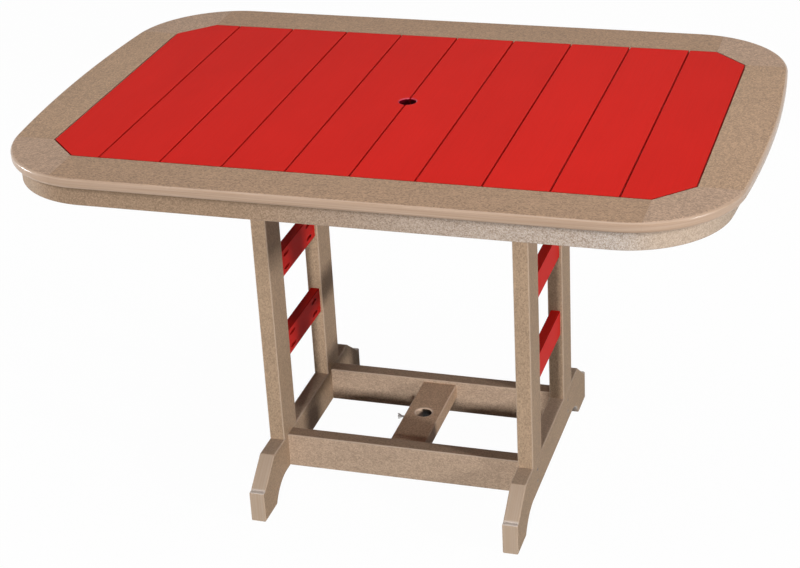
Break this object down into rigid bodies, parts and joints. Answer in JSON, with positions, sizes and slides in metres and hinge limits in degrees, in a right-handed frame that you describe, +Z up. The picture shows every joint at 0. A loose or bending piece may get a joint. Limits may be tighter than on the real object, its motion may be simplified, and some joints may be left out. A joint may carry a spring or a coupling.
{
  "type": "outdoor counter height table",
  "caption": "Counter height patio table with a slatted top in a rounded rim, a trestle base on sled feet, and umbrella holes with a clamping wing screw.",
  "frame": {"origin": "on the floor, under the middle of the table top", "axes": "+X along the length, towards the right of the picture; +Y to the back; +Z up"},
  "size_m": [1.6076, 1.0668, 0.9144],
  "materials": {
    "red_lumber": "grained",
    "tan_lumber": "grained",
    "steel": "satin",
    "brass": "satin"
  },
  "bodies": {
    "table": {"apron_back": "tan_lumber", "apron_corner_back_left": "tan_lumber", "apron_corner_back_right": "tan_lumber", "apron_corner_front_left": "tan_lumber", "apron_corner_front_right": "tan_lumber", "apron_front": "tan_lumber", "apron_left": "tan_lumber", "apron_right": "tan_lumber", "apron_screws": "steel", "batten_back": "tan_lumber", "batten_front": "tan_lumber", "batten_middle": "tan_lumber", "foot_runner_left": "tan_lumber", "foot_runner_right": "tan_lumber", "leg_back_left": "tan_lumber", "leg_back_right": "tan_lumber", "leg_foot_screws": "steel", "leg_front_left": "tan_lumber", "leg_front_right": "tan_lumber", "leg_top_screws": "steel", "rail_screws": "steel", "rim_back": "tan_lumber", "rim_corner_back_left": "tan_lumber", "rim_corner_back_right": "tan_lumber", "rim_corner_front_left": "tan_lumber", "rim_corner_front_right": "tan_lumber", "rim_front": "tan_lumber", "rim_left": "tan_lumber", "rim_right": "tan_lumber", "rim_screws": "steel", "rung_left_lower": "red_lumber", "rung_left_upper": "red_lumber", "rung_right_lower": "red_lumber", "rung_right_upper": "red_lumber", "rung_screws": "steel", "screw_insert": "brass", "slat_01": "red_lumber", "slat_02": "red_lumber", "slat_03": "red_lumber", "slat_04": "red_lumber", "slat_05": "red_lumber", "slat_06": "red_lumber", "slat_07": "red_lumber", "slat_08": "red_lumber", "slat_09": "red_lumber", "slat_10": "red_lumber", "slat_screws": "steel", "stretcher_back": "tan_lumber", "stretcher_front": "tan_lumber", "stretcher_screws": "steel", "top_rail_left": "tan_lumber", "top_rail_right": "tan_lumber", "umbrella_board": "tan_lumber", "umbrella_board_screws": "steel"},
    "wing_shank": {"wing_screw_shank": "steel"},
    "wings": {"wing_screw_wings": "steel"}
  },
  "joints": [
    {"name": "screw_feed", "type": "slide", "parent": "table", "child": "wing_shank", "axis": [1, 0, 0], "range_m": [0, 0.006]},
    {"name": "wing_turn", "type": "hinge", "parent": "wing_shank", "child": "wings", "pos_m": [-0.0598, 0, 0.1035], "axis": [1, 0, 0], "range_deg": [0, 2705]}
  ],
  "couplings": [
    {"joint": "wing_turn", "follows": "screw_feed", "rad_per_m": 7854}
  ]
}
